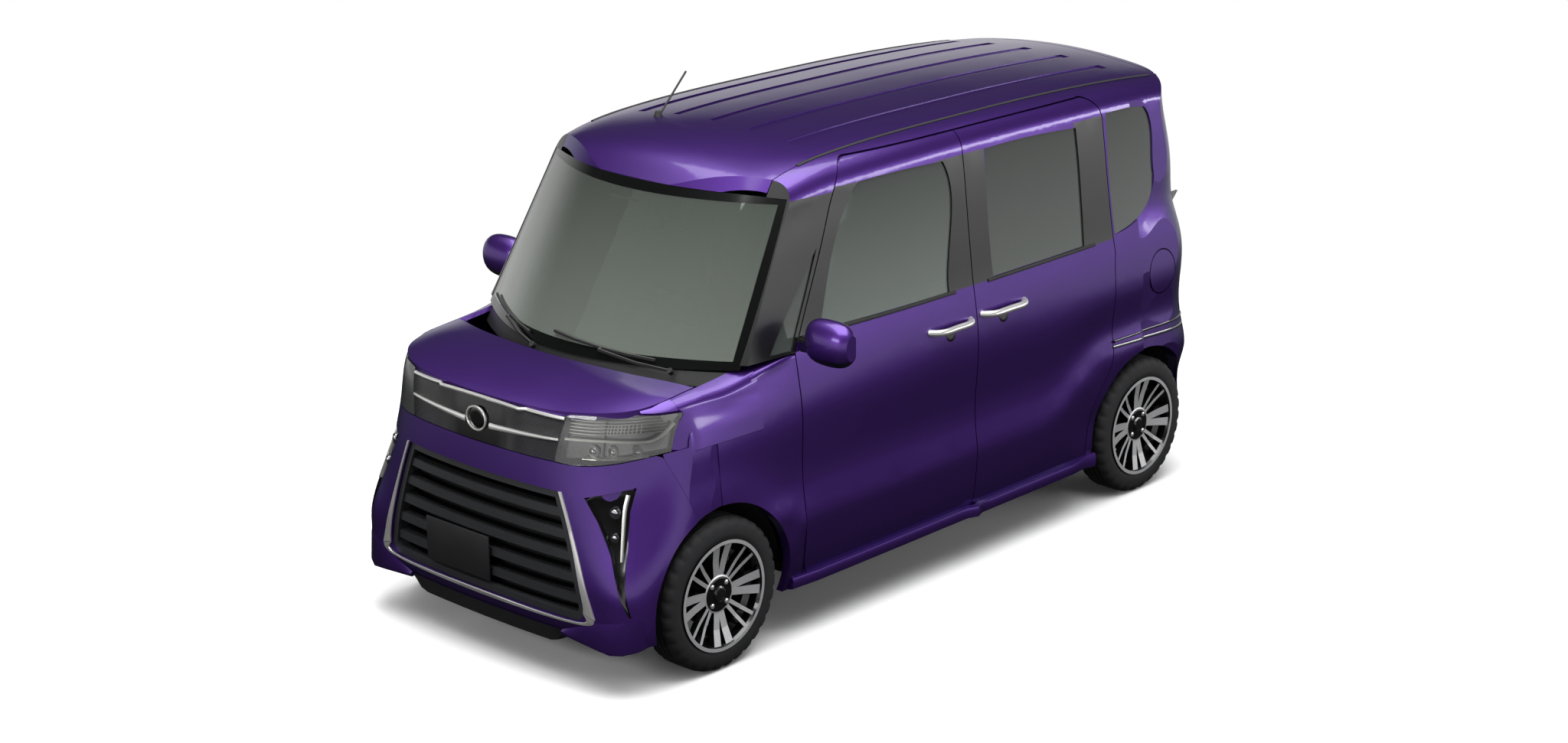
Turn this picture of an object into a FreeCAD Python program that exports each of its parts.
# A tall kei car: a one-box five-door body on four wheels, front end towards -Y, its left side at +X.
# The origin is on the ground under the middle of the car.
import FreeCAD, Part
import math
import os
from FreeCAD import Vector

doc = FreeCAD.newDocument("kei_car")
sheet = doc.addObject("Spreadsheet::Sheet", "sizes")

# Driving sizes, in millimetres and degrees: alias, value, what it is
SIZES = [
    ("overall_length", 3395.0, "bumper face to bumper face"),
    ("overall_width", 1475.0, "across the body sides, without mirrors"),
    ("roof_height", 1755.0, "ground to the crown of the roof"),
    ("wheelbase", 2460.0, "front axle to rear axle"),
    ("front_overhang", 497.5, "bumper face to front axle"),
    ("track", 1300.0, "between the middles of the two front or rear tyres"),
    ("tyre_radius", 281.0, "outside of the tread"),
    ("tyre_width", 165.0, "across the sidewalls"),
    ("rim_radius", 204.0, "outside of the rim flange"),
    ("rim_width", 150.0, "across the flanges"),
    ("bolt_circle", 100.0, "pitch circle of the four wheel nuts"),
    ("nut_radius", 9.5, "round wheel nut"),
    ("hub_bore_radius", 27.0, "bore in the middle of the rim"),
    ("disc_radius", 120.0, "brake disc"),
    ("disc_thickness", 17.0, "brake disc"),
    ("kingpin_offset", 55.0, "steering axis inboard of the tyre's middle"),
    ("arch_radius", 335.0, "wheel arch opening in the body side"),
    ("arch_depth_front", 310.0, "how far the front wheel housing reaches inboard"),
    ("arch_depth_rear", 250.0, "how far the rear wheel housing reaches inboard"),
    ("sill_height", 190.0, "ground to the lowest edge of the side skirt"),
    ("door_bottom", 238.0, "ground to the lower edge of the doors"),
    ("belt_height", 1108.0, "ground to the lower edge of the side windows"),
    ("window_top", 1592.0, "ground to the upper edge of the side windows"),
    ("door_top", 1676.0, "ground to the upper edge of the doors"),
    ("crease_height", 414.0, "ground to the crease low on the doors"),
    ("crease_depth", 9.0, "how far the door steps in below the crease"),
    ("panel_gap", 5.0, "shut line between a moving panel and its neighbour"),
    ("skin", 4.0, "outer sheet or plastic skin of a fixed panel"),
    ("door_wall", 62.0, "whole thickness of a door below its window"),
    ("roof_wall", 32.0, "whole thickness of the roof with its lining"),
    ("glass", 4.0, "pane thickness"),
    ("glass_inset", 6.0, "pane below the body side"),
    ("floor_top", 330.0, "ground to the top of the cabin floor"),
    ("floor_thickness", 60.0, "floor pan with its ribs"),
    ("front_door_edge", -785.0, "front shut line of the front door"),
    ("pillar_line", 176.0, "shut line between front and sliding door"),
    ("slide_door_edge", 1040.0, "rear shut line of the sliding door"),
    ("hood_rear", -1335.0, "rear edge of the bonnet on the centre line"),
    ("hood_height", 1048.0, "bonnet at its rear edge"),
    ("hood_drop", 60.0, "fall of the bonnet to its front edge"),
    ("cowl_front", -1030.0, "firewall behind the engine bay"),
    ("lamp_bottom", 812.0, "lower edge of the head lamps at the grille"),
    ("grille_top", 712.0, "upper edge of the main grille"),
    ("grille_bottom", 262.0, "lower edge of the main grille"),
    ("grille_half_top", 387.0, "half width of the main grille at its top"),
    ("grille_half_bottom", 482.0, "half width of the main grille at its bottom"),
]
for row, (alias, value, note) in enumerate(SIZES, start=1):
    sheet.set(f"A{row}", alias)
    sheet.set(f"B{row}", str(value))
    sheet.set(f"C{row}", note)
    sheet.setAlias(f"B{row}", alias)
doc.recompute()


def size(alias):
    """A driving size, read from the sheet."""
    return float(sheet.get(alias))


half_width = size("overall_width") / 2
nose = -size("overall_length") / 2
tail = size("overall_length") / 2
front_axle = nose + size("front_overhang")
rear_axle = front_axle + size("wheelbase")
gap = size("panel_gap")


# Curves: a smooth line through a few points, without overshoot
def smooth(points, at):
    """The value at `at` of a smooth curve through (position, value) points."""
    xs = [p[0] for p in points]
    ys = [p[1] for p in points]
    if at <= xs[0]:
        return ys[0] + (at - xs[0]) * (ys[1] - ys[0]) / (xs[1] - xs[0])
    if at >= xs[-1]:
        return ys[-1] + (at - xs[-1]) * (ys[-1] - ys[-2]) / (xs[-1] - xs[-2])
    slopes = [(ys[i + 1] - ys[i]) / (xs[i + 1] - xs[i]) for i in range(len(xs) - 1)]
    tangents = [slopes[0]]
    for left, right in zip(slopes, slopes[1:]):
        flat = left * right <= 0
        tangents.append(0.0 if flat else 2 * left * right / (left + right))
    tangents.append(slopes[-1])
    i = max(k for k in range(len(xs) - 1) if xs[k] <= at)
    span = xs[i + 1] - xs[i]
    t = (at - xs[i]) / span
    return (
        (1 + 2 * t) * (1 - t) ** 2 * ys[i]
        + t * (1 - t) ** 2 * span * tangents[i]
        + t * t * (3 - 2 * t) * ys[i + 1]
        + t * t * (t - 1) * span * tangents[i + 1]
    )


def ramp(at, start, end):
    """0 before start, 1 after end, smooth between."""
    t = min(1.0, max(0.0, (at - start) / (end - start)))
    return t * t * (3 - 2 * t)


def stations(start, end, count):
    """Evenly spaced positions from start to end."""
    return [start + (end - start) * i / (count - 1) for i in range(count)]


# Body side: how far each height lies inside the full half width, at the middle of the car
SIDE_INSET = [
    (120, 62), (190, 38), (240, 24), (300, 13), (360, 7), (410, 3), (450, 1), (490, 4),
    (560, 13), (640, 17), (720, 13), (800, 7), (870, 5), (930, 8), (990, 15), (1050, 24),
    (1110, 35), (1220, 50), (1350, 66), (1480, 81), (1580, 94), (1640, 106), (1690, 124), (1740, 158),
]
# How far the side draws in at the nose, for each height, at one wheelbase half ahead of the middle
NOSE_TAPER = [(120, 5), (600, 6), (700, 14), (830, 31), (970, 58), (1048, 66), (1300, 92), (1600, 130), (1740, 140)]
TAIL_TAPER = [(120, 22), (800, 26), (1100, 34), (1600, 46), (1740, 50)]
crease_rise = 205.0
crease_rise_start = 600.0
crease_rise_end = 1060.0


def crease_at(y):
    """Height of the crease low on the doors: level, then up over the rear wheel."""
    return size("crease_height") + crease_rise * ramp(y, crease_rise_start, crease_rise_end)


def side_x(y, z):
    """Distance of the body side from the middle of the car."""
    lift = crease_rise * ramp(y, crease_rise_start, crease_rise_end)
    low = z - lift * (1 - ramp(z, 560, 980)) * ramp(z, 230, 420)
    inset = smooth(SIDE_INSET, low)
    if y < 0:
        inset += smooth(NOSE_TAPER, z) * (y / 1200.0) ** 2
    if y > 700:
        inset += smooth(TAIL_TAPER, z) * ((y - 700) / 1000.0) ** 2
    for axle in (front_axle, rear_axle):
        reach = math.hypot(y - axle, z - size("tyre_radius"))
        inset -= 8 * math.exp(-(((reach - size("arch_radius")) / 90) ** 2)) * ramp(z, 150, 400)
    return half_width - max(inset, 0.0)


ROOF_LINE = [
    (-1800, -260), (-1000, -225), (-910, -150), (-850, -104), (-760, -62), (-640, -31), (-450, -12), (-200, -3),
    (100, 0), (500, -1), (900, -8), (1300, -24), (1550, -42), (1700, -60), (1800, -80),
]
ROOF_DROP = [(0, 0), (0.25, 4), (0.5, 16), (0.68, 29), (0.78, 39), (0.85, 49), (0.9, 59), (0.955, 79)]
shoulder_drop = 118.0


def roof_line(y):
    """Height of the roof on the centre line."""
    return size("roof_height") + smooth(ROOF_LINE, y)


HOOD_LINE = [(-1800, -190), (-1700, -108), (-1665, -78), (-1620, -58), (-1540, -36), (-1440, -15), (-1335, 0), (-1000, 18)]
HOOD_DROP = [(0, 0), (0.25, 1), (0.5, 6), (0.75, 15), (0.88, 28), (0.95, 44), (0.985, 66)]
fender_drop = 112.0


def hood_line(y):
    """Height of the bonnet on the centre line."""
    return size("hood_height") + smooth(HOOD_LINE, y)


screen_foot = -1273.0
screen_lean = 0.641
screen_bow = 215.0


def screen_y(x, z):
    """Where the windscreen's outside lies: it leans back, and bows forward in the middle."""
    return screen_foot + (z - 1040) * screen_lean + screen_bow * (x / 615.0) ** 2


NOSE_LINE = [
    (120, 70), (190, 32), (230, 10), (280, 3), (400, 0), (600, 3), (712, 8), (812, 16), (892, 22),
    (960, 36), (1010, 60), (1080, 120),
]
NOSE_ROUND_LOW = [(0, 0), (200, 3), (400, 15), (520, 28), (600, 42), (660, 62), (700, 100), (730, 190), (760, 330)]
NOSE_ROUND_HIGH = [(0, 0), (200, 8), (400, 42), (500, 90), (570, 160), (620, 245), (650, 315), (700, 450), (760, 640)]


def nose_y(x, z):
    """Where the face of the car lies."""
    blend = ramp(z, 330, 930)
    round_off = (1 - blend) * smooth(NOSE_ROUND_LOW, abs(x)) + blend * smooth(NOSE_ROUND_HIGH, abs(x))
    return nose + smooth(NOSE_LINE, z) + round_off


TAIL_LINE = [
    (120, 60), (190, 22), (260, 4), (420, 0), (620, 6), (700, 22), (800, 26), (1100, 34), (1300, 46),
    (1500, 66), (1600, 78), (1760, 100),
]
TAIL_ROUND = [(0, 0), (300, 5), (500, 13), (580, 25), (630, 44), (680, 84), (710, 130), (740, 220), (770, 340)]


def tail_y(x, z):
    """Where the back of the car lies."""
    wide = abs(x) + (half_width - side_x(1500, min(z, 1640)))
    return tail - smooth(TAIL_LINE, z) - smooth(TAIL_ROUND, wide)


# Sections: points round half the body, from under the sill to the centre line
LOW_HEIGHTS = [100, 190, 240, 300, 360, 410, 450, 490, 560, 640, 720, 800, 870, 930, 990, 1050, 1110]
FENDER_HEIGHTS = [100, 190, 240, 300, 360, 410, 450, 490, 560, 640, 720]


def cabin_section(y):
    top = roof_line(y) - shoulder_drop
    points = [(side_x(y, z), z) for z in LOW_HEIGHTS]
    points += [(side_x(y, 1110 + f * (top - 1110)), 1110 + f * (top - 1110)) for f in (0.25, 0.5, 0.75, 0.9, 1)]
    wide = side_x(y, top)
    points += [(share * wide, roof_line(y) - drop) for share, drop in reversed(ROOF_DROP)]
    return points


def fender_section(y):
    sharp = 1 - 0.75 * ramp(y, -1180, -820)
    top = hood_line(y) - fender_drop * sharp
    points = [(side_x(y, z), z) for z in FENDER_HEIGHTS]
    points += [(side_x(y, 720 + f * (top - 720)), 720 + f * (top - 720)) for f in (0.33, 0.67, 0.88, 1)]
    wide = side_x(y, top)
    points += [(share * wide, hood_line(y) - drop * sharp) for share, drop in reversed(HOOD_DROP)]
    return points


def inset_section(points, wall):
    """The section moved inward, square to its own line, by wall."""
    moved = []
    for i, (x, z) in enumerate(points):
        before = points[max(i - 1, 0)]
        after = points[i + 1] if i + 1 < len(points) else (-before[0], before[1])
        dx, dz = after[0] - before[0], after[1] - before[1]
        length = math.hypot(dx, dz)
        moved.append((max(x - wall * dz / length, 0.0), z + wall * dx / length))
    return moved


def wrap_surface(section, ys, wall=0.0):
    """One smooth sheet round the body, through its sections at ys."""
    rows = []
    for y in ys:
        half = inset_section(section(y), wall) if wall else section(y)
        left = [Vector(x, y, z) for x, z in half]
        right = [Vector(-x, y, z) for x, z in reversed(half[:-1])]
        rows.append(left + right)
    surface = Part.BSplineSurface()
    surface.interpolate(rows)
    return surface


def shut_tool(rows, push):
    """A solid standing on a sheet through rows of points, reaching away along push."""
    surface = Part.BSplineSurface()
    surface.interpolate(rows)
    return surface.toShape().extrude(push)


def part_of(surface, section, first, last):
    """The piece of a wrapped sheet from one point of its section to another."""
    part = surface.copy()
    u0, u1, v0, v1 = part.bounds()
    y_mid = part.value((u0 + u1) / 2, v0).y
    points = section(y_mid)
    ends = []
    for k in (first, last):
        x, z = points[k] if k < len(points) else (-points[2 * len(points) - 2 - k][0], points[2 * len(points) - 2 - k][1])
        ends.append(v0 if k == 0 else part.parameter(Vector(x, y_mid, z))[1])
    part.segment(u0, u1, ends[0], ends[1])
    return part.toShape()


tools = {}


def outside(name, depth=0.0):
    """All that lies outside one side of the body, moved inward by depth."""
    key = (name, depth)
    if key not in tools:
        tools[key] = TOOL_MAKERS[name](depth)
    return tools[key]


def cabin_side_tool(depth):
    count = len(cabin_section(0))
    sheet_part = part_of(wrap_surface(cabin_section, CABIN_STATIONS, depth), cabin_section, 0, count - 4)
    return sheet_part.extrude(Vector(700, 0, 700))


def cabin_top_tool(depth):
    count = len(cabin_section(0))
    first = count - 7
    sheet_part = part_of(wrap_surface(cabin_section, CABIN_STATIONS, depth), cabin_section, first, 2 * count - 2 - first)
    return sheet_part.extrude(Vector(0, 0, 700))


def fender_side_tool(depth):
    count = len(fender_section(-1300))
    sheet_part = part_of(wrap_surface(fender_section, FENDER_STATIONS, depth), fender_section, 0, count - 4)
    return sheet_part.extrude(Vector(700, 0, 700))


def hood_top_tool(depth):
    count = len(fender_section(-1300))
    first = count - 7
    sheet_part = part_of(wrap_surface(fender_section, HOOD_STATIONS, depth), fender_section, first,
                         2 * count - 2 - first)
    return sheet_part.extrude(Vector(0, 0, 700))


def screen_tool(depth):
    rows = [[Vector(x, screen_y(x, z) + depth, z) for x in (-720, -480, -240, 0, 240, 480, 720)]
            for z in (900, 1200, 1500, 1850)]
    return shut_tool(rows, Vector(0, -900, 0))



def corner_x(edge_y, z, corner):
    """Where the end face, followed outward, reaches the corner's y."""
    low, high = 300.0, 760.0
    for _ in range(30):
        middle = (low + high) / 2
        if abs(edge_y(middle, z)) > abs(corner):
            low = middle
        else:
            high = middle
    return low


def plan_line(z, edge_y, corner, side_end, depth):
    """Half the body's outline at one height, from the centre line round the corner to side_end."""
    reach = corner_x(edge_y, z, corner)
    points = [(share * reach, edge_y(share * reach, z)) for share in (0, 0.22, 0.44, 0.62, 0.78, 0.9, 1)]
    for share in (0.3, 0.62, 1):
        y = corner + share * (side_end - corner)
        points.append((side_x(y, min(z, 1600.0)), y))
    if depth:
        turn = 1 if side_end > corner else -1
        moved = []
        for i, (x, y) in enumerate(points):
            before = points[i - 1] if i else (-points[1][0], points[1][1])
            after = points[min(i + 1, len(points) - 1)]
            dx, dy = after[0] - before[0], after[1] - before[1]
            length = math.hypot(dx, dy)
            moved.append((max(x - turn * depth * dy / length, 0.0), y + turn * depth * dx / length))
        points = moved
    return points


def end_core(edge_y, corner_of, side_end, heights, depth):
    """The solid inside one end of the car: outlines at several heights, lofted."""
    wires = []
    for z in heights:
        half = plan_line(z, edge_y, corner_of(z), side_end, depth)
        full = [Vector(-x, y, z) for x, y in reversed(half[1:])] + [Vector(x, y, z) for x, y in half]
        curve = Part.BSplineCurve()
        curve.interpolate(full)
        wires.append(Part.Wire([curve.toShape(), Part.makeLine(full[-1], full[0])]))
    return Part.makeLoft(wires, True, False)


def nose_corner(z):
    return -1545 + 150 * ramp(z, 330, 930)


def tail_corner(z):
    return 1560.0


NOSE_HEIGHTS = (120, 190, 240, 300, 400, 520, 640, 760, 860, 940, 1000, 1060)
TAIL_HEIGHTS = (120, 190, 260, 420, 600, 700, 900, 1100, 1300, 1500, 1640, 1775)
cores = {}


def nose_core(depth=0.0):
    if ("nose", depth) not in cores:
        cores["nose", depth] = end_core(nose_y, nose_corner, -1120.0, NOSE_HEIGHTS, depth)
    return cores["nose", depth]


def tail_core(depth=0.0):
    if ("tail", depth) not in cores:
        cores["tail", depth] = end_core(tail_y, tail_corner, 1200.0, TAIL_HEIGHTS, depth)
    return cores["tail", depth]


CABIN_STATIONS = stations(-1300, 1780, 27)
FENDER_STATIONS = stations(-1500, -740, 11)
HOOD_STATIONS = stations(-1720, -1180, 9)
TOOL_MAKERS = {
    "cabin side": cabin_side_tool, "cabin top": cabin_top_tool, "fender side": fender_side_tool,
    "hood": hood_top_tool, "screen": screen_tool,
}


# Outlines: runs of points joined end to end, two points for a straight edge, more for a smooth curve
def grown(runs, grow):
    """The runs moved outward square to themselves, with mitred corners."""
    corners = [point for run in runs for point in run]
    area = sum(a[0] * b[1] - b[0] * a[1] for a, b in zip(corners, corners[1:] + corners[:1]))
    turn = grow if area > 0 else -grow

    def normal(a, b):
        length = math.hypot(b[0] - a[0], b[1] - a[1])
        return (b[1] - a[1]) / length, (a[0] - b[0]) / length

    moved = []
    for k, run in enumerate(runs):
        before, after = runs[k - 1], runs[(k + 1) % len(runs)]
        line = []
        for i, point in enumerate(run):
            into = normal(run[i - 1], point) if i else normal(before[-2], before[-1])
            out = normal(point, run[i + 1]) if i + 1 < len(run) else normal(after[0], after[1])
            share = turn / (1 + into[0] * out[0] + into[1] * out[1])
            line.append((point[0] + share * (into[0] + out[0]), point[1] + share * (into[1] + out[1])))
        moved.append(line)
    return moved


def outline(plane, runs, grow=0.0):
    """A flat face in the side ("yz"), front ("xz") or top ("xy") view."""
    def place(a, b):
        return {"yz": Vector(0, a, b), "xz": Vector(a, 0, b), "xy": Vector(a, b, 0)}[plane]
    edges = []
    last = None
    for run in grown(runs, grow) if grow else runs:
        points = [place(a, b) for a, b in run]
        if last is not None and (points[0] - last).Length > 1e-6:
            edges.append(Part.makeLine(last, points[0]))
        if len(points) == 2:
            edges.append(Part.makeLine(points[0], points[1]))
        else:
            curve = Part.BSplineCurve()
            curve.interpolate(points)
            edges.append(curve.toShape())
        last = points[-1]
    start = edges[0].Vertexes[0].Point
    if (start - last).Length > 1e-6:
        edges.append(Part.makeLine(last, start))
    return Part.Face(Part.Wire(edges))


def prism(plane, runs, low, high, grow=0.0):
    """The outline, extruded square to its plane from low to high."""
    way = {"yz": Vector(1, 0, 0), "xz": Vector(0, 1, 0), "xy": Vector(0, 0, 1)}[plane]
    face = outline(plane, runs, grow)
    face.translate(way * low)
    return face.extrude(way * (high - low))


def polygon(*points):
    """A run for each side of a plain polygon."""
    return [[a, b] for a, b in zip(points, points[1:] + points[:1])]


def box(x0, x1, y0, y1, z0, z1):
    return Part.makeBox(x1 - x0, y1 - y0, z1 - z0, Vector(x0, y0, z0))


def rod(a, b, radius):
    """A round bar from a to b."""
    return Part.makeCylinder(radius, (b - a).Length, a, b - a)


def cross_rod(y, z, radius, x0, x1):
    """A round bar lying across the car."""
    return rod(Vector(x0, y, z), Vector(x1, y, z), radius)


def mirrored(shape):
    """The same piece on the other side of the car."""
    return shape.mirror(Vector(0, 0, 0), Vector(1, 0, 0))


def fused(first, *others):
    return first.multiFuse(list(others)).removeSplitter() if others else first


def pair(shape):
    """A left piece and its mirror image, as two solids of one node."""
    return Part.makeCompound(shape.Solids + mirrored(shape).Solids)


def biggest(shape):
    """The main solid, without slivers."""
    return max(shape.Solids, key=lambda solid: solid.Volume)


def wall(blank, name, depth, start=0.0):
    """The layer of a blank between two depths below one side of the body."""
    return blank.cut(outside(name, start)).common(outside(name, depth))


def shell_end(blank, core, depth, start=0.0):
    """The layer of a blank between two depths below the front or the back of the body."""
    return blank.common(core(start)).cut(core(depth))


nodes = {}


def add(name, shape):
    """A sub-part of the document with a shape of its own."""
    piece = doc.addObject("Part::Feature", name)
    piece.Label = name
    piece.Shape = shape
    piece.Placement = FreeCAD.Placement()
    nodes[name] = piece
    return piece


def bound(kind, name, label=None, **expressions):
    """A primitive or boolean whose properties follow the sheet."""
    piece = doc.addObject(kind, name)
    piece.Label = label or name
    for prop, expression in expressions.items():
        piece.setExpression(prop.replace("__", "."), expression)
    return piece


wheel_z = size("tyre_radius")
arch_r = size("arch_radius")
door_wall = size("door_wall")
front_edge = size("front_door_edge")
pillar_line = size("pillar_line")
slide_edge = size("slide_door_edge")
belt = size("belt_height")
window_top = size("window_top")
door_top = size("door_top")
door_bottom = size("door_bottom")
FAR = 900.0


# Shut lines of the left side, in the side view (y, z)
FRONT_DOOR = [
    [(front_edge + 22, door_bottom), (front_edge + 6, 270), (front_edge, 330)],
    [(front_edge, 330), (front_edge, 1060)],
    [(front_edge, 1060), (-690, 1235), (-590, 1430), (-500, 1610), (-450, 1667), (-395, door_top + 8)],
    [(-395, door_top + 8), (pillar_line, door_top + 6)],
    [(pillar_line, door_top + 6), (pillar_line, door_bottom)],
    [(pillar_line, door_bottom), (front_edge + 22, door_bottom)],
]
arch_clear = 52.0
SLIDING_DOOR = [
    [(pillar_line, door_bottom), (pillar_line, door_top + 6)],
    [(pillar_line, door_top + 6), (560, door_top + 4), (928, door_top)],
    [(928, door_top), (985, 1664), (1022, 1625), (1036, 1560)],
    [(1036, 1560), (1042, 1340), (slide_edge + 14, 1054)],
    [(slide_edge + 14, 1054), (slide_edge - 4, 760), (1000, 572), (925, 470), (885, 340), (876, door_bottom)],
    [(876, door_bottom), (pillar_line, door_bottom)],
]
FRONT_WINDOW = [
    [(-655, 1118), (36, 1108)],
    [(36, 1108), (78, 1345), (78, 1560), (60, 1594)],
    [(60, 1594), (-180, 1603), (-395, 1600)],
    [(-395, 1600), (-455, 1540), (-600, 1262), (-655, 1118)],
]
SLIDING_WINDOW = [
    [(295, 1114), (862, 1116)],
    [(862, 1116), (868, 1350), (862, 1580)],
    [(862, 1580), (580, 1597), (300, 1598)],
    [(300, 1598), (292, 1350), (295, 1114)],
]
QUARTER_WINDOW = [
    [(1068, 1123), (1200, 1140), (1320, 1205), (1368, 1309)],
    [(1368, 1309), (1372, 1450), (1352, 1560), (1330, 1584)],
    [(1330, 1584), (1180, 1600), (1062, 1602)],
    [(1062, 1602), (1056, 1360), (1068, 1123)],
]
CORNER_WINDOW = [
    [(-905, 1075), (-800, 1072)],
    [(-800, 1072), (-710, 1235), (-624, 1405)],
    [(-624, 1405), (-790, 1215), (-905, 1075)],
]

screen_pane = [
    [(-641, 1048), (-400, 1042), (0, 1040), (400, 1042), (641, 1048)],
    [(641, 1048), (622, 1300), (588, 1591)],
    [(588, 1591), (400, 1601), (0, 1606), (-400, 1601), (-588, 1591)],
    [(-588, 1591), (-622, 1300), (-641, 1048)],
]
LAMP = [
    [(361, 812), (398, 990)],
    [(398, 990), (560, 990)],
    [(560, 990), (606, 979), (668, 972)],
    [(668, 972), (674, 920), (684, 855)],
    [(684, 855), (560, 822), (361, 812)],
]
BONNET_FRONT = [(605, -1330), (598, -1410), (574, -1478), (500, -1556), (400, -1606), (200, -1642), (0, -1650)]
BONNET_REAR = [(0, -1338), (300, -1312), (450, -1280), (560, -1240), (604, -1222)]


def bonnet_outline():
    front = BONNET_FRONT + [(-x, y) for x, y in reversed(BONNET_FRONT[:-1])]
    rear = [(-x, y) for x, y in reversed(BONNET_REAR)] + BONNET_REAR[1:]
    return [front, [front[-1], rear[0]], rear, [rear[-1], front[0]]]


# Glass: thin layers of the body's own surface, set a little below it
glass_inset = size("glass_inset")
pane_depth = glass_inset + size("glass")
seat_clear = 0.4


def side_pane(runs):
    return biggest(wall(prism("yz", runs, 500, FAR, -seat_clear), "cabin side", pane_depth, glass_inset))


pane_blank = prism("xz", screen_pane, -1500, -600, -seat_clear)
windscreen = biggest(pane_blank.cut(outside("screen", 2.0)).common(outside("screen", 8.0)))
screen_seat = prism("xz", screen_pane, -1500, -600).common(outside("screen", 26.0))

# Side panel: sill, pillars, roof rail and rear quarter, one pressing each side
side_blank = prism("yz", polygon((-1090, 1064), (-1090, 1760), (1760, 1760), (1760, 190), (front_edge, 190), (front_edge, 1064)),
                   440, FAR)
behind = box(-800, 800, 1230, 1800, 130, 1765).cut(tail_core())
side = wall(side_blank, "cabin side", door_wall).cut(behind)
side = side.cut(box(0, 523, -1300, 1800, 1400, 1800))
side = side.cut(outside("screen", 0.0)).cut(screen_seat)
for runs in (FRONT_DOOR, SLIDING_DOOR):
    side = side.cut(prism("yz", runs, 400, FAR, gap))
for runs in (QUARTER_WINDOW, CORNER_WINDOW):
    side = side.cut(prism("yz", runs, 400, FAR))
side = side.cut(cross_rod(rear_axle, wheel_z, arch_r, 400, FAR))
TAILGATE = polygon((-592, 1130), (-585, 1180), (-560, 1800), (560, 1800), (585, 1180), (592, 1130), (592, 640),
                   (-592, 640))
TAIL_LAMP = polygon((592, 772), (800, 772), (800, 1190), (592, 1190))
REAR_BUMPER = [
    [(1490, 185), (1800, 185)], [(1800, 185), (1800, 640)], [(1800, 640), (1640, 640)],
    [(1640, 640), (1575, 610), (1530, 540), (1510, 440)], [(1510, 440), (1490, 185)],
]
tailgate_front = 1562.0
lamp_front = 1572.0
side = side.cut(prism("xz", TAILGATE, tailgate_front - 6, 1800, gap))
side = side.cut(box(300, 800, lamp_front, 1800, 772, 1190))
seam = 0.8
side = side.cut(prism("yz", REAR_BUMPER, 300, FAR, seam))
FUEL_LID = (1369.0, 911.0)
fuel_lid_r = 88.0
pillar = wall(box(440, FAR, 122, 230, size("floor_top") + 0.3, 1690), "cabin side", 105, door_wall + gap)
pillar_head = wall(box(440, FAR, 122, 230, 1686, 1720), "cabin side", 100, 40)
framed_side = biggest(side.multiFuse([pillar, pillar_head]))
holed_side = biggest(framed_side.cut(cross_rod(*FUEL_LID, fuel_lid_r + gap, 600, FAR)))
lid_blank = cross_rod(*FUEL_LID, fuel_lid_r + gap + 1, 500, FAR)
lid_hinge = Vector(side_x(1279.5, FUEL_LID[1]) - 4.0, 1279.5, FUEL_LID[1])
lid_pin = rod(lid_hinge - Vector(0, 0, 32), lid_hinge + Vector(0, 0, 32), 1.2)
lid_lug = rod(lid_hinge - Vector(0, 0, 9), lid_hinge + Vector(0, 0, 9), 2.6)
lid_lug = lid_lug.fuse(box(lid_hinge.x - 2, lid_hinge.x + 2, lid_hinge.y, lid_hinge.y + 6, lid_hinge.z - 9, lid_hinge.z + 9))
lid_lug = lid_lug.cut(rod(lid_hinge - Vector(0, 0, 12), lid_hinge + Vector(0, 0, 12), 1.26))
add("side_panel_left", fused(holed_side, wall(lid_blank, "cabin side", door_wall, 40), lid_pin))
add("side_panel_right", mirrored(fused(holed_side, wall(lid_blank, "cabin side", door_wall))))
add("fuel_lid", fused(biggest(wall(cross_rod(*FUEL_LID, fuel_lid_r, 600, FAR), "cabin side", 8)), lid_lug))

# Roof, with five long ribs pressed into it
roof = wall(box(-520, 520, -1100, tailgate_front - 6, 1500, 1800), "cabin top", size("roof_wall"))
roof = biggest(roof.cut(outside("screen", 0.0)).cut(screen_seat))
rib_ends = (-480.0, 1380.0)
for x in (-380, -190, 0, 190, 380):
    groove = wall(box(x - 22, x + 22, rib_ends[0], rib_ends[1], 1600, 1800), "cabin top", 5)
    roof = roof.cut(groove)
add("roof_panel", biggest(roof))

# Doors: a thick shell with its window cut out, thinner along the rear edge so that it swings clear
def door(runs, window):
    leaf = wall(prism("yz", runs, 400, FAR), "cabin side", door_wall).cut(box(300, 552, -900, 1100, 1500, 1800))
    below_crease = outside("cabin side", size("crease_depth"))
    step = prism("yz", polygon((-900, 150), (-900, size("crease_height")), (680, size("crease_height")),
                               (1010, 600), (1100, 600), (1100, 150)), 500, FAR).cut(below_crease)
    leaf = leaf.cut(step)
    return leaf.cut(prism("yz", window, 400, FAR))


front_door = door(FRONT_DOOR, FRONT_WINDOW)
rear_strip = box(400, FAR, pillar_line - 16, pillar_line + 5, 100, 1760).cut(outside("cabin side", 14))
front_door = biggest(front_door.cut(rear_strip))
front_door = biggest(front_door.cut(box(400, FAR, pillar_line - gap / 2, FAR, 100, 1760)))
sliding_door = door(SLIDING_DOOR, SLIDING_WINDOW)
sliding_door = biggest(sliding_door.cut(box(400, FAR, -100, pillar_line + gap / 2, 100, 1760)))
add("front_door_left", front_door)
add("front_door_right", mirrored(front_door))
add("sliding_doors", pair(sliding_door))
front_pane = side_pane(FRONT_WINDOW)
add("front_door_glass_left", front_pane)
add("front_door_glass_right", mirrored(front_pane))
add("sliding_door_glass", pair(side_pane(SLIDING_WINDOW)))
fixed = [side_pane(QUARTER_WINDOW), side_pane(CORNER_WINDOW)]
add("fixed_side_glass", Part.makeCompound(fixed + [mirrored(pane) for pane in fixed]))
add("windscreen", windscreen)


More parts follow.
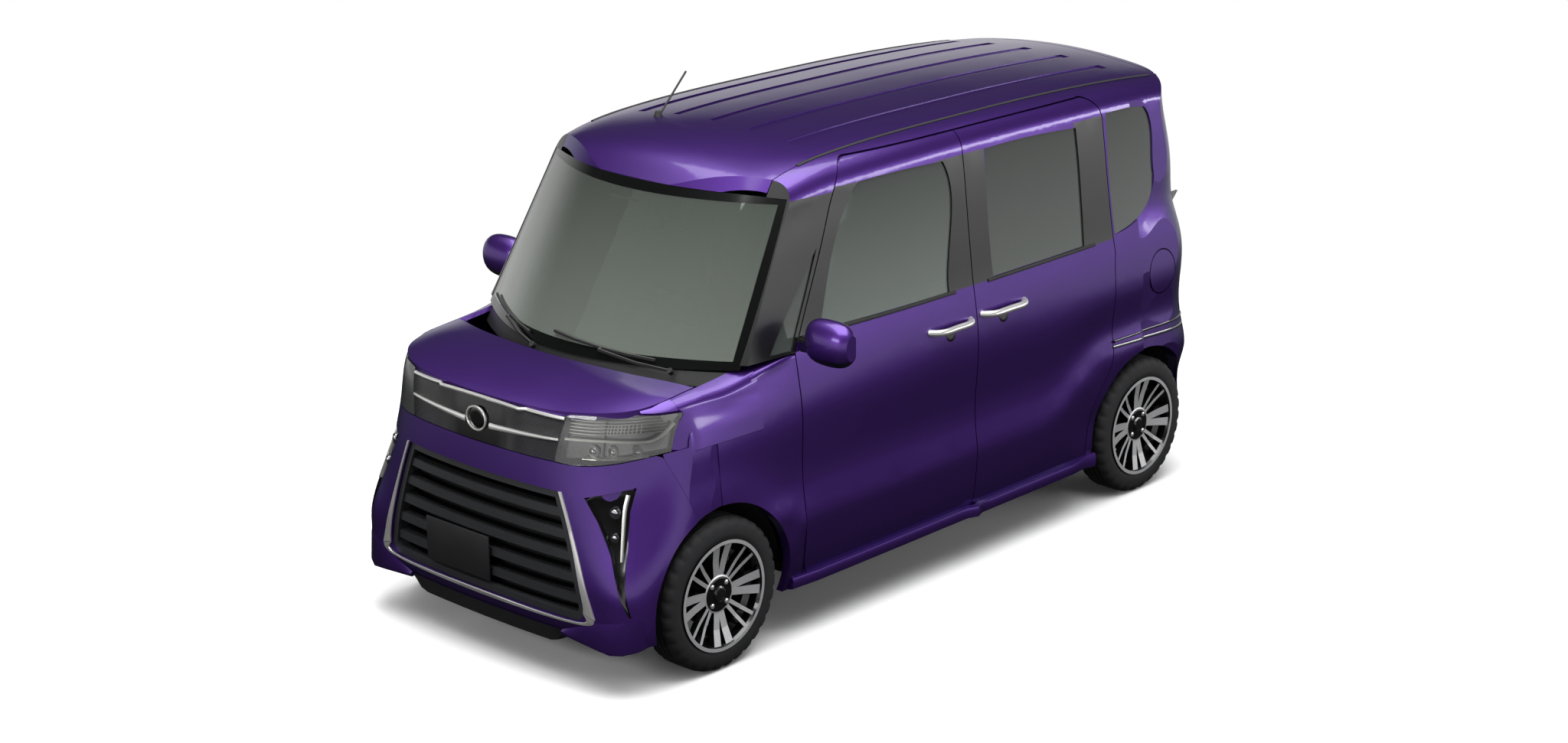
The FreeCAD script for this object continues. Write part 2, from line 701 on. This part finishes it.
# Door handles: a bowed bar on two feet
def handle(y0, y1, z):
    face = side_x((y0 + y1) / 2, z)
    mid = (y0 + y1) / 2
    path = Part.BSplineCurve()
    path.interpolate([Vector(face - 6, y0, z), Vector(face + 26, y0 + 30, z), Vector(face + 33, mid, z),
                      Vector(face + 26, y1 - 30, z), Vector(face - 6, y1, z)])
    spine = Part.Wire(path.toShape())
    start = Part.Wire(Part.makeCircle(13, Vector(face - 6, y0, z), path.tangent(path.FirstParameter)[0]))
    return spine.makePipeShell([start], True, False)


front_handle = handle(-96, 140, 985).cut(front_door)
add("front_handle_left", biggest(front_handle))
add("front_handle_right", mirrored(biggest(front_handle)))
rear_handle = biggest(handle(208, 462, 991).cut(sliding_door))
add("sliding_door_handles", pair(rear_handle))

# Mirror: a rounded housing on a foot at the door's front belt corner
def ring(x, y, z, half_y, half_z):
    curve = Part.BSplineCurve()
    points = [Vector(x, y + half_y * math.cos(k * math.pi / 6), z + half_z * math.sin(k * math.pi / 6))
              for k in range(12)]
    curve.interpolate(points, PeriodicFlag=True)
    return Part.Wire(curve.toShape())


MIRROR_SECTIONS = [(738, 26, 50), (765, 50, 74), (840, 60, 84), (905, 52, 74), (936, 30, 46)]
housing = Part.makeLoft([ring(x, -772, 1128, a, b) for x, a, b in MIRROR_SECTIONS], True)
housing = housing.cut(box(600, 1100, -752, -600, 900, 1300))
foot = Part.makeLoft([Part.Wire(Part.makePolygon([Vector(690, -768, 1066), Vector(690, -690, 1074),
                      Vector(690, -690, 1104), Vector(690, -768, 1100), Vector(690, -768, 1066)])),
                      Part.Wire(Part.makePolygon([Vector(775, -788, 1078), Vector(775, -752, 1080),
                      Vector(775, -752, 1110), Vector(775, -788, 1108), Vector(775, -788, 1078)]))], True)
mirror = biggest(fused(housing, foot).cut(prism("yz", FRONT_DOOR, 400, FAR).cut(outside("cabin side", 0.0))))
add("mirror_left", mirror)
add("mirror_right", mirrored(mirror))

# Front end: fender, bonnet, lamps, bumper and grilles
fender_wall = 40.0
cowl_half = 604.0
BUMPER_SIDE = [
    [(-1800, 185), (-1800, 1000)], [(-1800, 1000), (-1407, 827)], [(-1407, 827), (-1372, 720), (-1322, 560)],
    [(-1322, 560), (-1300, 185)], [(-1300, 185), (-1800, 185)],
]
front_arch = cross_rod(front_axle, wheel_z, arch_r, 380, FAR)
nose_front = box(-800, 800, -1800, -1200, 130, 1100).cut(nose_core())
lamp_seat = prism("xz", LAMP, -1800, -1240, 2).cut(nose_core(61.0))
fender_blank = prism("yz", polygon((-1480, 500), (-1480, 1075), (-1090, 1075), (-1090, 1058),
                                   (front_edge - gap, 1058), (front_edge - gap, 192), (-1000, 192)), 430, FAR)
fender_solid = fender_blank.cut(outside("fender side", 0.0))
fender_hollow = fender_solid.copy()
fender_hollow.translate(Vector(-fender_wall, 0, -34))
fender = fender_solid.cut(fender_hollow)
fender = fender.cut(prism("yz", BUMPER_SIDE, 300, FAR, seam)).cut(nose_front).cut(lamp_seat)
fender = fender.cut(prism("xy", bonnet_outline(), 800, 1200, gap)).cut(front_arch)
fender = biggest(fender.cut(outside("screen", 26.0)))
fender = biggest(fender.cut(box(400, cowl_half + gap, -1236, -700, 700, 1100)))
hinge_y, hinge_z = -1205.0, 1008.0
hinge_pin = cross_rod(hinge_y, hinge_z, 4, 572, cowl_half + gap + 22)
fender = fused(fender, hinge_pin)
add("fenders", pair(biggest(fender)))

bonnet_wall = 24.0
bonnet = wall(prism("xy", bonnet_outline(), 860, 1120), "hood", bonnet_wall)
lug = cross_rod(hinge_y, hinge_z, 11, 578, 590)
lug = lug.fuse(prism("yz", polygon((hinge_y - 4, hinge_z - 11), (hinge_y - 4, hinge_z + 10), (-1268, hinge_z - 8),
                                   (-1268, hinge_z - 34)), 578, 590))
lug = lug.cut(cross_rod(hinge_y, hinge_z, 4.06, 570, 600)).cut(outside("hood", 4.0))
bonnet = biggest(fused(biggest(bonnet), lug, mirrored(lug)))
add("bonnet", bonnet)

lamp = shell_end(prism("xz", LAMP, -1760, -1240), nose_core, 60)
lamp = lamp.cut(prism("xy", bonnet_outline(), 800, 1200, gap)).cut(outside("hood", 2.0))
lamp = biggest(lamp.cut(fender))
add("headlamps", pair(lamp))

GARNISH = polygon((-361, 812), (-398, 990), (398, 990), (361, 812))
garnish = shell_end(prism("xz", GARNISH, -1760, -1500, -0.3), nose_core, 34, 3)
garnish = biggest(garnish.cut(prism("xy", bonnet_outline(), 800, 1200, gap)).cut(outside("hood", 2.0)))
add("upper_grille", garnish)

GRILLE = [
    [(-384, 712), (384, 712)], [(384, 712), (424, 610), (462, 490), (500, 330)], [(500, 330), (499, 284), (472, 262)],
    [(472, 262), (-472, 262)], [(-472, 262), (-499, 284), (-500, 330)],
    [(-500, 330), (-462, 490), (-424, 610), (-384, 712)],
]
FOG = polygon((482, 703), (610, 737), (613, 660), (641, 514), (682, 306), (598, 516), (534, 628))
bumper = shell_end(prism("yz", BUMPER_SIDE, -800, 800), nose_core, 36)
bumper = bumper.common(box(-800, 800, -1800, -1200, 196, 870)).cut(prism("xz", GRILLE, -1800, -1300))
bumper = bumper.cut(prism("xz", LAMP, -1800, -1200, 2)).cut(mirrored(prism("xz", LAMP, -1800, -1200, 2)))
bumper = bumper.cut(prism("xz", GARNISH, -1800, -1200, 2))
bumper = bumper.cut(cross_rod(front_axle, wheel_z, arch_r, -FAR, FAR))
fog_pocket = prism("xz", FOG, -1800, -1300)
fog_well = fog_pocket.common(nose_core(0.0)).cut(nose_core(22.0))
bumper = biggest(bumper.cut(fog_well).cut(mirrored(fog_well)))
add("front_bumper", bumper)

grille_ring = shell_end(prism("xz", GRILLE, -1760, -1500, -0.4), nose_core, 60, 10)
grille_hole = prism("xz", GRILLE, -1800, -1300, -26)
frame_ring = grille_ring.cut(grille_hole)
slats = []
for z in (322, 396, 470, 544, 618):
    blade = prism("yz", polygon((-1800, z), (-1800, z + 30), (-1500, z + 30), (-1500, z)), -500, 500)
    slats.append(blade.common(prism("xz", GRILLE, -1800, -1300, -20)).common(nose_core(18.0)).cut(nose_core(52.0)))
grille = fused(frame_ring, *slats)
add("main_grille", biggest(grille))


# Rear end: bumper, lamps and the tailgate with its pane
rear_blank = prism("yz", REAR_BUMPER, -800, 800)
rear_bumper = shell_end(rear_blank, tail_core, 44).cut(cross_rod(rear_axle, wheel_z, arch_r, -FAR, FAR))
rear_bumper = rear_bumper.cut(prism("xz", TAILGATE, 1400, 1800, gap))
plate_niche = box(-190, 190, 1600, 1800, 395, 575).common(tail_core(0.0)).cut(tail_core(22.0))
rear_bumper = biggest(rear_bumper.cut(plate_niche))
add("rear_bumper", rear_bumper)
tail_lamp = shell_end(box(598, 800, lamp_front + 0.3, 1800, 772.3, 1189.7), tail_core, 55)
tail_lamp = tail_lamp.cut(outside("cabin side", 0.0))
add("tail_lamps", pair(biggest(tail_lamp)))

tail_blank = prism("xz", TAILGATE, tailgate_front, 1800)
gate = shell_end(tail_blank, tail_core, 62).fuse(
    wall(tail_blank.common(box(-800, 800, tailgate_front, 1800, 1600, 1800)), "cabin top", size("roof_wall")))
gate = gate.common(tail_core(0.0)).cut(outside("cabin top", 0.0))
REAR_WINDOW = [
    [(-500, 1150), (0, 1140), (500, 1150)], [(500, 1150), (505, 1350), (478, 1560)],
    [(478, 1560), (0, 1572), (-478, 1560)], [(-478, 1560), (-505, 1350), (-500, 1150)],
]
gate = biggest(gate.cut(prism("xz", REAR_WINDOW, 1300, 1800)))
add("tailgate", gate)
rear_pane = shell_end(prism("xz", REAR_WINDOW, 1300, 1800, -seat_clear), tail_core, 10, 6)
add("tailgate_glass", biggest(rear_pane))

# Cowl below the windscreen, its two wipers, and the aerial
rear_edge = [(x, y + gap) for x, y in BONNET_REAR]
cowl_top = [(-x, y) for x, y in reversed(rear_edge[1:])] + rear_edge
cowl = prism("xy", [cowl_top, [cowl_top[-1], (604, -985)], [(604, -985), (-604, -985)],
                    [(-604, -985), cowl_top[0]]], 992, 1038)
hinge_pocket = box(556, 640, -1300, -1170, 960, 1045)
cowl = cowl.cut(hinge_pocket).cut(mirrored(hinge_pocket))
cowl = biggest(cowl.cut(outside("screen", 10.0)).cut(outside("hood", 12.0)))
add("cowl", cowl)


def bent_pipe(points, radius):
    pipe = rod(points[0], points[1], radius)
    for a, b in zip(points[1:], points[2:]):
        pipe = pipe.fuse(Part.makeSphere(radius, a)).fuse(rod(a, b, radius))
    return pipe


def bar(points, half):
    """A square bar that runs through the points, which lie in the screen's slope."""
    rings = []
    for point in points:
        corners = [point + Vector(0, -half, -half), point + Vector(0, half, -half),
                   point + Vector(0, half, half), point + Vector(0, -half, half)]
        rings.append(Part.makePolygon(corners + corners[:1]))
    return Part.makeLoft(rings, True, True)


def wiper(x0, x1):
    """An arm and blade lying on the screen from its spindle to the blade's tip."""
    def on_screen(share, z, lift):
        x = x0 + share * (x1 - x0)
        return Vector(x, screen_y(x, z) - lift, z)
    hub = rod(on_screen(0, 1034, 14), on_screen(0, 1046, 34), 11)
    arm = bar([on_screen(0, 1042, 26), on_screen(0.25, 1056, 24), on_screen(0.55, 1078, 21)], 4.5)
    blade = bar([on_screen(share, 1062 + 36 * share, 11) for share in (0.14, 0.35, 0.55, 0.78, 1.0)], 4.5)
    clip = rod(on_screen(0.545, 1081, 8), on_screen(0.545, 1077, 24), 6)
    return biggest(hub.multiFuse([arm, blade, clip]))


add("wipers", Part.makeCompound([wiper(455, -60), wiper(-130, -560)]))
mast_foot = Vector(-250, -520, roof_line(-520) - 17)
mast = rod(mast_foot, mast_foot + Vector(0, 150, 150), 4).fuse(
    Part.makeCone(20, 10, 24, mast_foot + Vector(0, 0, 0)))
add("antenna", biggest(mast.cut(nodes["roof_panel"].Shape)))

# Floor: pan, tunnel, sills, firewall, wheel housings and a raised rear deck
floor_top = size("floor_top")
floor_low = floor_top - size("floor_thickness")
firewall_y = size("cowl_front")
housing_r = arch_r + 14
front_housing_x = 400.0
rear_housing_x = 487.0


def wheel_housing(y, x0, x1):
    """A half tube over the wheel, closed on its inner side."""
    tube = cross_rod(y, wheel_z, housing_r, x0 - 12, x1).cut(cross_rod(y, wheel_z, arch_r, x0, x1 + 1))
    return tube.common(box(0, FAR, y - 500, y + 500, wheel_z + 64, 1000))


pan = box(-628, 628, firewall_y, 905, floor_low, floor_top)
tunnel = prism("xz", polygon((-130, floor_top - 1), (-90, floor_top + 70), (90, floor_top + 70), (130, floor_top - 1)),
               firewall_y, 300)
tunnel_hollow = prism("xz", polygon((-110, floor_low - 1), (-72, floor_top + 50), (72, floor_top + 50),
                                    (110, floor_low - 1)), firewall_y - 1, 280)
sill = box(560, 634, -780, 868, 215, floor_low + 10)
firewall = box(-600, 600, firewall_y - 14, firewall_y, floor_low, 985)
step = box(-628, 628, 893, 905, floor_low, 440)
deck = box(-600, 600, 893, 1570, 428, 440)
rear_panel = box(-540, 540, 1558, 1570, 330, 600)
rails = box(338, 386, -1585, firewall_y, 420, 500)
bumper_beam = box(-440, 440, -1600, -1574, 420, 500)
tower = box(386, 560, -1280, -1120, 612, 820).cut(box(398, 548, -1268, -1132, 600, 808))
front_housing = wheel_housing(front_axle, front_housing_x, 660).cut(box(398, 548, -1268, -1132, 500, 808))
rear_housing = wheel_housing(rear_axle, rear_housing_x, 652)
solids = [tunnel, sill, mirrored(sill), firewall, step, deck, rear_panel, rails, mirrored(rails), bumper_beam]
floor = pan.multiFuse(solids).cut(tunnel_hollow)
for side_of in (lambda shape: shape, mirrored):
    floor = floor.cut(side_of(cross_rod(front_axle, wheel_z, arch_r, front_housing_x - 1, 700)))
    floor = floor.cut(side_of(cross_rod(rear_axle, wheel_z, arch_r, rear_housing_x - 1, 700)))
    floor = floor.fuse(side_of(front_housing)).fuse(side_of(rear_housing)).fuse(side_of(tower))
rear_shell_zone = box(-800, 800, 1430, 1800, 100, 900).cut(tail_core(44.0))
floor = biggest(floor.cut(rear_shell_zone).removeSplitter())
add("underbody", floor)

# Engine and gearbox, one plain block across the bay behind the radiator
engine = bound("Part::Box", "engine", Length="560", Width="370", Height="500")
engine.Placement.Base = Vector(-270, -1530, 262)
nodes["engine"] = engine

# Front suspension: cross member, lower arms and a strut each side up to its tower
kingpin_x = size("track") / 2 - size("kingpin_offset")
strut_x = 498.0
arm_top = 214.0
cross_member = box(-330, 330, -1165, -1085, 196, 262)
mounts = [box(300, 384, -1155, -1095, 196, 232), box(338, 386, -1150, -1100, 230, 420)]
arm = prism("xy", [[(320, -1165), (470, -1180), (580, -1222)], [(580, -1222), (606, -1200), (580, -1178)],
                   [(580, -1178), (470, -1120), (320, -1090)], [(320, -1090), (320, -1165)]], 196, arm_top)
strut = rod(Vector(strut_x, front_axle, arm_top - 4), Vector(strut_x, front_axle, 560), 21)
spring = rod(Vector(strut_x, front_axle, 560), Vector(strut_x, front_axle, 799), 42)
spring_seat = rod(Vector(strut_x, front_axle, 798), Vector(strut_x, front_axle, 808), 28)
half = [arm, strut, spring, spring_seat] + mounts
front_suspension = cross_member.multiFuse(half + [mirrored(piece) for piece in half])
add("front_suspension", biggest(front_suspension.removeSplitter()))

# Knuckle: an upright on the lower arm's end with the spindle that carries the wheel
spindle_r = 18.0
hub_face = size("track") / 2 + 40


def spindle(x0, x1, y):
    return cross_rod(y, wheel_z, spindle_r, x0, x1)


carrier = cross_rod(front_axle, wheel_z, 46, kingpin_x - 22, kingpin_x + 14)
upright = box(kingpin_x - 20, kingpin_x + 12, front_axle - 30, front_axle + 30, arm_top + 0.5, wheel_z + 75)
steer_arm = box(kingpin_x - 18, kingpin_x + 6, front_axle, front_axle + 118, wheel_z - 12, wheel_z + 12)
knuckle = carrier.multiFuse([upright, steer_arm, spindle(kingpin_x, hub_face - 1, front_axle)])
add("knuckle_left", biggest(knuckle.removeSplitter()))
add("knuckle_right", mirrored(biggest(knuckle.removeSplitter())))

# Rear axle: a twist beam with trailing arms, springs, dampers and spindles
beam = box(-500, 500, 1120, 1180, 250, 310)
trailing = prism("xy", polygon((452, 915), (500, 915), (520, 1300), (470, 1300)), 250, 306)
bush = cross_rod(925, 278, 34, 440, 512)
hanger = box(446, 506, 905, 945, 300, 428)
spring_cup = rod(Vector(430, 1150, 300), Vector(430, 1150, 428), 48)
damper = rod(Vector(455, 1290, 290), Vector(455, 1310, 428), 24)
flange = cross_rod(rear_axle, wheel_z, 60, 500, 590)
half = [trailing, bush, hanger, spring_cup, damper, flange, spindle(560, hub_face - 1, rear_axle)]
rear_axle_shape = beam.multiFuse(half + [mirrored(piece) for piece in half]).removeSplitter()
add("rear_axle", biggest(rear_axle_shape.cut(floor)))

# Fuel tank and exhaust under the floor
tank = bound("Part::Box", "fuel_tank", Length="620", Width="520", Height="130")
tank.Placement.Base = Vector(-420, 340, 140)
nodes["fuel_tank"] = tank
pipe_line = [Vector(250, -1160, 285), Vector(250, -1040, 225), Vector(240, -900, 225), Vector(270, 200, 225),
             Vector(330, 900, 225), Vector(330, 1350, 225)]


silencer = Part.makeCylinder(78, 380, Vector(60, 1428, 300), Vector(1, 0, 0))
tail_pipe = rod(Vector(418, 1428, 262), Vector(418, 1600, 240), 20)
exhaust = bent_pipe(pipe_line, 22).multiFuse([silencer, tail_pipe])
hangers = [box(244, 256, 1422, 1434, 370, 428), box(264, 276, 190, 202, 240, floor_low)]
add("exhaust", biggest(exhaust.multiFuse(hangers).cut(rear_axle_shape).cut(floor)))

# Wheel: a revolved rim and hub, then spokes at four nut axes and four diagonals
track_half = size("track") / 2
rim_r = size("rim_radius")
rim_half = size("rim_width") / 2
tyre_r = size("tyre_radius")
tyre_half = size("tyre_width") / 2


def revolved(points, y):
    """A closed outline of (distance from the axis, x) points, turned about the axle."""
    corners = [Vector(track_half + x, y, wheel_z + r) for r, x in points]
    face = Part.Face(Part.Wire(Part.makePolygon(corners + corners[:1])))
    return face.revolve(Vector(0, y, wheel_z), Vector(1, 0, 0), 360)


RIM = [
    (rim_r - 18, -rim_half), (rim_r, -rim_half), (rim_r, -rim_half + 7), (rim_r - 9, -rim_half + 13),
    (rim_r - 9, -30), (rim_r - 32, -18), (rim_r - 32, 14), (rim_r - 9, 34), (rim_r - 9, rim_half - 13),
    (rim_r, rim_half - 7), (rim_r, rim_half), (rim_r - 13, rim_half), (rim_r - 19, rim_half - 12),
    (rim_r - 20, 30), (rim_r - 40, 16), (rim_r - 40, -24), (rim_r - 18, -36),
]
hub_r = 70.0
spoke_front = 50.0
spoke_back = 26.0
HUB = [(spindle_r + 0.06, -34), (hub_r - 14, -34), (hub_r - 14, 22), (hub_r, 26), (hub_r, spoke_front - 4),
       (hub_r - 12, spoke_front), (30, spoke_front), (30, 40), (spindle_r + 0.06, 40)]
DISC = [(40, -30), (size("disc_radius"), -30), (size("disc_radius"), -30 + size("disc_thickness")), (40, -13)]
CAP = [(0.01, spoke_front - 8), (30, spoke_front - 8), (30, spoke_front + 1), (24, spoke_front + 4),
       (0.01, spoke_front + 5)]


def spoke(angle, width_hub, width_rim):
    """One spoke, wider at one end, dished toward the hub."""
    outer = rim_r - 13
    side_line = Part.Face(Part.Wire(Part.makePolygon([
        Vector(track_half + spoke_back, 0, hub_r - 8), Vector(track_half + spoke_front - 5, 0, hub_r - 8),
        Vector(track_half + spoke_front + 4, 0, 130), Vector(track_half + rim_half - 6, 0, outer),
        Vector(track_half + rim_half - 30, 0, outer), Vector(track_half + spoke_back, 0, 120),
        Vector(track_half + spoke_back, 0, hub_r - 8)])))
    blade = side_line.extrude(Vector(0, 160, 0))
    blade.translate(Vector(0, -80, 0))
    trim = Part.Face(Part.Wire(Part.makePolygon([
        Vector(track_half, -width_hub / 2, hub_r - 10), Vector(track_half, -width_rim / 2, outer + 2),
        Vector(track_half, width_rim / 2, outer + 2), Vector(track_half, width_hub / 2, hub_r - 10),
        Vector(track_half, -width_hub / 2, hub_r - 10)]))).extrude(Vector(120, 0, 0))
    blade = blade.common(trim)
    blade.rotate(Vector(0, 0, 0), Vector(1, 0, 0), angle)
    return blade


def wheel_at(y):
    spokes = []
    for quarter in range(4):
        turn = quarter * 90
        spokes += [spoke(turn - 9, 26, 34), spoke(turn + 9, 26, 34)]
        spokes += [spoke(turn + 45 - 8, 15, 13), spoke(turn + 45 + 8, 15, 13)]
    for blade in spokes:
        blade.translate(Vector(0, y, wheel_z))
    wheel = revolved(RIM, y).multiFuse([revolved(HUB, y), revolved(DISC, y), revolved(CAP, y)] + spokes)
    for quarter in range(4):
        angle = math.radians(90 * quarter + 45)
        nut_y = y + size("bolt_circle") / 2 * math.cos(angle)
        nut_z = wheel_z + size("bolt_circle") / 2 * math.sin(angle)
        wheel = wheel.cut(cross_rod(nut_y, nut_z, size("nut_radius") + 4, track_half + 36, track_half + 60))
    return biggest(wheel)


SIDEWALL = [(rim_r - 8, rim_half - 7), (rim_r + 3, rim_half + 1), (rim_r + 24, tyre_half), (tyre_r - 26, tyre_half - 3),
            (tyre_r - 8, tyre_half - 12), (tyre_r - 2, tyre_half - 26), (tyre_r, tyre_half - 60)]
BEAD = [(rim_r - 8.6, rim_half - 14), (rim_r - 8.6, rim_half - 22), (rim_r + 8, rim_half - 16), (tyre_r - 24, rim_half - 16),
        (tyre_r - 14, 0)]
front_wheel = wheel_at(front_axle)
rear_wheel = wheel_at(rear_axle)
outer_line = [(rim_r + 0.5, rim_half - 8)] + SIDEWALL[1:]
inner_line = [(rim_r + 0.5, rim_half - 18), (tyre_r - 24, rim_half - 16)]
TYRE = (outer_line + [(r, -x) for r, x in reversed(outer_line)]
        + [(r, -x) for r, x in inner_line] + list(reversed(inner_line)))


def tyre_at(y):
    return revolved(TYRE, y)


for name, wheel, y in (("front", front_wheel, front_axle), ("rear", rear_wheel, rear_axle)):
    add(f"wheel_{name}_left", wheel)
    add(f"wheel_{name}_right", mirrored(wheel))
    tyre = tyre_at(y)
    add(f"tyre_{name}_left", tyre)
    add(f"tyre_{name}_right", mirrored(tyre))

# Cabin: dashboard, steering wheel, seats
dash_line = [
    [(-985, 985), (-940, 1012)], [(-940, 1012), (-800, 1030), (-700, 1015), (-655, 975)],
    [(-655, 975), (-640, 900), (-680, 830)], [(-680, 830), (-720, 700)], [(-720, 700), (-1000, 640)],
    [(-1000, 640), (-1016, 985)], [(-1016, 985), (-985, 985)],
]
dash = prism("yz", dash_line, -606, 606)
binnacle = box(-470, -190, -790, -668, 1010, 1060)
console = box(-150, 150, -985, -700, 640, 720)
floor_console = box(-90, 90, -985, -860, floor_top + 70.3, 650)
wheel_centre = Vector(-330, -520, 905)
column_way = Vector(0, -math.cos(math.radians(26)), -math.sin(math.radians(26)))
column = rod(wheel_centre + column_way * 62, wheel_centre + column_way * 260, 32)
dashboard = dash.multiFuse([binnacle, console, floor_console, column])
add("dashboard", biggest(dashboard.removeSplitter()))

steering = Part.makeTorus(178, 14, wheel_centre, column_way * -1)
boss = rod(wheel_centre + column_way * 56, wheel_centre - column_way * 6, 50)
across = Vector(1, 0, 0)
up = column_way.cross(across)
arms = [rod(wheel_centre + column_way * 8, wheel_centre + column_way * 4 + way * 172, 11)
        for way in (across, across * -1, up * (-1 if up.z > 0 else 1))]
add("steering_wheel", biggest(steering.multiFuse([boss] + arms)))


def seat(x, y, width):
    """Cushion, back and head restraint of one front seat on its rails."""
    low = floor_top
    cushion = prism("yz", [[(y, low + 190), (y, low + 290)], [(y, low + 290), (y + 60, low + 335), (y + 300, low + 300),
                           (y + 470, low + 285)], [(y + 470, low + 285), (y + 470, low + 180)],
                           [(y + 470, low + 180), (y, low + 190)]], x - width / 2, x + width / 2)
    back = prism("yz", polygon((y + 400, low + 260), (y + 500, low + 330), (y + 690, low + 900), (y + 640, low + 920),
                               (y + 560, low + 880)), x - width / 2 + 10, x + width / 2 - 10)
    head = prism("yz", polygon((y + 590, low + 950), (y + 620, low + 1130), (y + 690, low + 1140), (y + 720, low + 950),
                               (y + 650, low + 930)), x - 120, x + 120)
    posts = [rod(Vector(x + dx, y + 650, low + 880), Vector(x + dx, y + 655, low + 980), 7) for dx in (-60, 60)]
    rails = [box(x + dx - 18, x + dx + 18, y + 40, y + 440, low, low + 195) for dx in (-165, 165)]
    return biggest(cushion.multiFuse([back, head] + posts + rails))


front_seat = seat(345, -420, 430)
add("front_seats", pair(front_seat))
rear_seat = seat(285, 430, 540)
add("rear_seats", pair(rear_seat))

doc.recompute()
for name, piece in nodes.items():
    states = set(piece.State) & {"Invalid", "Error"}
    shape = piece.Shape
    if states or shape.isNull() or not shape.isValid() or not shape.Solids:
        raise RuntimeError(f"{name} is not a sound solid: {sorted(states)}")
os.makedirs("parts", exist_ok=True)
for name, piece in nodes.items():
    piece.Shape.exportStep(f"parts/{name}.step")
